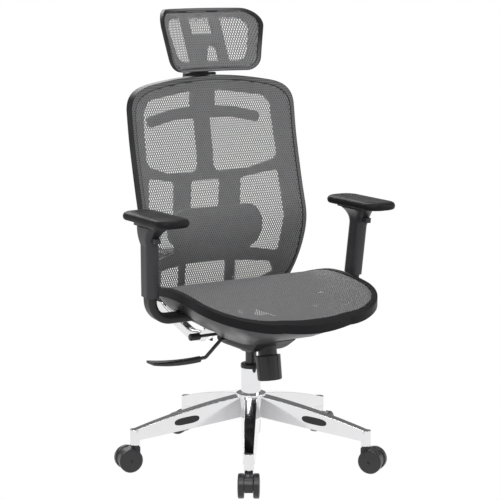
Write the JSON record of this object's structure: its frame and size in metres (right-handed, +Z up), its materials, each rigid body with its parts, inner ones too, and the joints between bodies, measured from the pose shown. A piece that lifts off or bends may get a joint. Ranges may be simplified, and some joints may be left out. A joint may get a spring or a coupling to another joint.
{
  "type": "ergonomic mesh office chair",
  "caption": "Swivel task chair with mesh seat, ribbed mesh back, headrest, height-adjustable arms, tilt mechanism, gas column and castered star base.",
  "frame": {"origin": "on the floor under the axis of the gas column", "axes": "+Z up, the chair faces -Y, so the sitter's right hand is on the -X side"},
  "size_m": [0.6776, 0.6634, 1.1306],
  "materials": {
    "chromed_steel": "polished",
    "bright_steel": "satin",
    "black_plastic": "fine grain",
    "rim_plastic": "satin",
    "caster_plastic": "satin",
    "black_steel": "satin",
    "grey_mesh": "knitted net",
    "soft_pad": "fine grain"
  },
  "bodies": {
    "base": {"base_star": "chromed_steel", "column_tube": "chromed_steel", "column_bush": "black_plastic", "column_clip": "bright_steel"},
    "gas_rod": {"gas_spring_rod": "bright_steel", "thrust_bearing": "bright_steel"},
    "mechanism": {"gas_spring_cylinder": "chromed_steel", "mechanism_housing": "black_steel", "spring_cover": "black_plastic", "tension_spring": "bright_steel", "pivot_pins": "bright_steel"},
    "release_pin": {"release_pin": "bright_steel"},
    "tension_knob": {"tension_knob": "black_plastic", "tension_bolt": "bright_steel"},
    "lift_lever": {"lift_lever_rod": "bright_steel", "lift_lever_paddle": "black_plastic"},
    "tilt_lock": {"tilt_lock_rod": "bright_steel", "tilt_lock_grip": "black_plastic"},
    "seat": {"seat_plate": "black_steel", "seat_shell": "black_plastic", "seat_rim": "rim_plastic", "seat_mesh": "grey_mesh", "seat_bolts": "bright_steel", "arm_tube_right": "black_steel", "arm_tube_left": "black_steel"},
    "back": {"back_yoke": "chromed_steel", "link_pin": "bright_steel", "back_bracket": "black_plastic", "back_bolts": "bright_steel", "back_frame": "black_plastic", "back_rim": "rim_plastic", "back_mesh": "grey_mesh"},
    "lumbar": {"lumbar_pad": "black_plastic"},
    "headrest_post": {"headrest_post": "black_plastic"},
    "headrest": {"headrest_frame": "black_plastic", "headrest_mesh": "grey_mesh", "headrest_pin": "bright_steel"},
    "arm_right": {"arm_upright_right": "black_plastic"},
    "arm_button_right": {"arm_button_right": "black_plastic"},
    "pad_carrier_right": {"pad_carrier_right": "black_plastic"},
    "arm_pad_right": {"arm_pad_right": "soft_pad"},
    "arm_left": {"arm_upright_left": "black_plastic"},
    "arm_button_left": {"arm_button_left": "black_plastic"},
    "pad_carrier_left": {"pad_carrier_left": "black_plastic"},
    "arm_pad_left": {"arm_pad_left": "soft_pad"},
    "caster_1": {"caster_1_hood": "caster_plastic", "caster_1_stem": "bright_steel"},
    "wheels_1": {"caster_1_wheels": "caster_plastic"},
    "caster_2": {"caster_2_hood": "caster_plastic", "caster_2_stem": "bright_steel"},
    "wheels_2": {"caster_2_wheels": "caster_plastic"},
    "caster_3": {"caster_3_hood": "caster_plastic", "caster_3_stem": "bright_steel"},
    "wheels_3": {"caster_3_wheels": "caster_plastic"},
    "caster_4": {"caster_4_hood": "caster_plastic", "caster_4_stem": "bright_steel"},
    "wheels_4": {"caster_4_wheels": "caster_plastic"},
    "caster_5": {"caster_5_hood": "caster_plastic", "caster_5_stem": "bright_steel"},
    "wheels_5": {"caster_5_wheels": "caster_plastic"}
  },
  "joints": [
    {"name": "seat_swivel", "type": "hinge", "parent": "base", "child": "gas_rod", "pos_m": [0, 0, 0.1916], "axis": [0, 0, 1], "continuous": true},
    {"name": "seat_height", "type": "slide", "parent": "gas_rod", "child": "mechanism", "axis": [0, 0, 1], "range_m": [-0.03, 0.07]},
    {"name": "lift_lever_raise", "type": "hinge", "parent": "mechanism", "child": "lift_lever", "pos_m": [-0.055, 0, 0.3246], "axis": [0, 1, 0], "range_deg": [0, 6], "stiffness_Nm_per_rad": 1.2, "springref_deg": -20.05},
    {"name": "release_pin_press", "type": "slide", "parent": "mechanism", "child": "release_pin", "axis": [0, 0, -1], "range_m": [0, 0.0058]},
    {"name": "tilt_lock_pull", "type": "slide", "parent": "mechanism", "child": "tilt_lock", "axis": [-1, 0, 0], "range_m": [0, 0.006]},
    {"name": "tension_knob_turn", "type": "hinge", "parent": "mechanism", "child": "tension_knob", "pos_m": [0, -0.075, 0.3096], "axis": [0, 0.1663, 0.9861], "range_deg": [-360, 720]},
    {"name": "back_recline", "type": "hinge", "parent": "mechanism", "child": "back", "pos_m": [0, 0.045, 0.3416], "axis": [-1, 0, 0], "range_deg": [0, 20], "stiffness_Nm_per_rad": 130, "springref_deg": -20.05},
    {"name": "seat_tilt", "type": "hinge", "parent": "mechanism", "child": "seat", "pos_m": [0, -0.1, 0.3626], "axis": [-1, 0, 0], "range_deg": [0, 6]},
    {"name": "arm_height_right", "type": "slide", "parent": "seat", "child": "arm_right", "axis": [-0.0523, -0.087, 0.9948], "range_m": [0, 0.07]},
    {"name": "arm_button_press_right", "type": "slide", "parent": "arm_right", "child": "arm_button_right", "axis": [0, 0.9962, 0.0872], "range_m": [0, 0.003], "stiffness_N_per_m": 900},
    {"name": "pad_swivel_right", "type": "hinge", "parent": "arm_right", "child": "pad_carrier_right", "pos_m": [-0.297, -0.038, 0.6336], "axis": [0, 0, 1], "range_deg": [-20, 20]},
    {"name": "pad_slide_right", "type": "slide", "parent": "pad_carrier_right", "child": "arm_pad_right", "axis": [0, -1, 0], "range_m": [-0.02, 0.02]},
    {"name": "arm_height_left", "type": "slide", "parent": "seat", "child": "arm_left", "axis": [0.0523, -0.087, 0.9948], "range_m": [0, 0.07]},
    {"name": "arm_button_press_left", "type": "slide", "parent": "arm_left", "child": "arm_button_left", "axis": [0, 0.9962, 0.0872], "range_m": [0, 0.003], "stiffness_N_per_m": 900},
    {"name": "pad_swivel_left", "type": "hinge", "parent": "arm_left", "child": "pad_carrier_left", "pos_m": [0.297, -0.038, 0.6336], "axis": [0, 0, 1], "range_deg": [-20, 20]},
    {"name": "pad_slide_left", "type": "slide", "parent": "pad_carrier_left", "child": "arm_pad_left", "axis": [0, -1, 0], "range_m": [-0.046, 0]},
    {"name": "lumbar_height", "type": "slide", "parent": "back", "child": "lumbar", "axis": [0, 0, 1], "range_m": [-0.02, 0.025]},
    {"name": "headrest_height", "type": "slide", "parent": "back", "child": "headrest_post", "axis": [0, 0.1392, 0.9903], "range_m": [0, 0.05]},
    {"name": "headrest_tilt", "type": "hinge", "parent": "headrest_post", "child": "headrest", "pos_m": [0, 0.246, 1.0436], "axis": [1, 0, 0], "range_deg": [-15, 6]},
    {"name": "caster_swivel_1", "type": "hinge", "parent": "base", "child": "caster_1", "pos_m": [-0.16421, -0.25286, 0.0716], "axis": [0, 0, 1], "continuous": true},
    {"name": "wheel_spin_1", "type": "hinge", "parent": "caster_1", "child": "wheels_1", "pos_m": [-0.17401, -0.26795, 0.03], "axis": [-0.8387, 0.5446, 0], "continuous": true},
    {"name": "caster_swivel_2", "type": "hinge", "parent": "base", "child": "caster_2", "pos_m": [0.18974, -0.23431, 0.0716], "axis": [0, 0, 1], "continuous": true},
    {"name": "wheel_spin_2", "type": "hinge", "parent": "caster_2", "child": "wheels_2", "pos_m": [0.20006, -0.24905, 0.03], "axis": [-0.8192, -0.5736, 0], "continuous": true},
    {"name": "caster_swivel_3", "type": "hinge", "parent": "base", "child": "caster_3", "pos_m": [0.28147, 0.10805, 0.0716], "axis": [0, 0, 1], "continuous": true},
    {"name": "wheel_spin_3", "type": "hinge", "parent": "caster_3", "child": "wheels_3", "pos_m": [0.29674, 0.11759, 0.03], "axis": [0.5299, -0.848, 0], "continuous": true},
    {"name": "caster_swivel_4", "type": "hinge", "parent": "base", "child": "caster_4", "pos_m": [-0.01578, 0.30109, 0.0716], "axis": [0, 0, 1], "continuous": true},
    {"name": "wheel_spin_4", "type": "hinge", "parent": "caster_4", "child": "wheels_4", "pos_m": [-0.02478, 0.31667, 0.03], "axis": [0.866, 0.5, 0], "continuous": true},
    {"name": "caster_swivel_5", "type": "hinge", "parent": "base", "child": "caster_5", "pos_m": [-0.29123, 0.07803, 0.0716], "axis": [0, 0, 1], "continuous": true},
    {"name": "wheel_spin_5", "type": "hinge", "parent": "caster_5", "child": "wheels_5", "pos_m": [-0.30895, 0.08116, 0.03], "axis": [0.1736, 0.9848, 0], "continuous": true}
  ],
  "couplings": [
    {"joint": "release_pin_press", "follows": "lift_lever_raise", "m_per_rad": 0.055},
    {"joint": "seat_tilt", "follows": "back_recline", "ratio": 0.3}
  ]
}
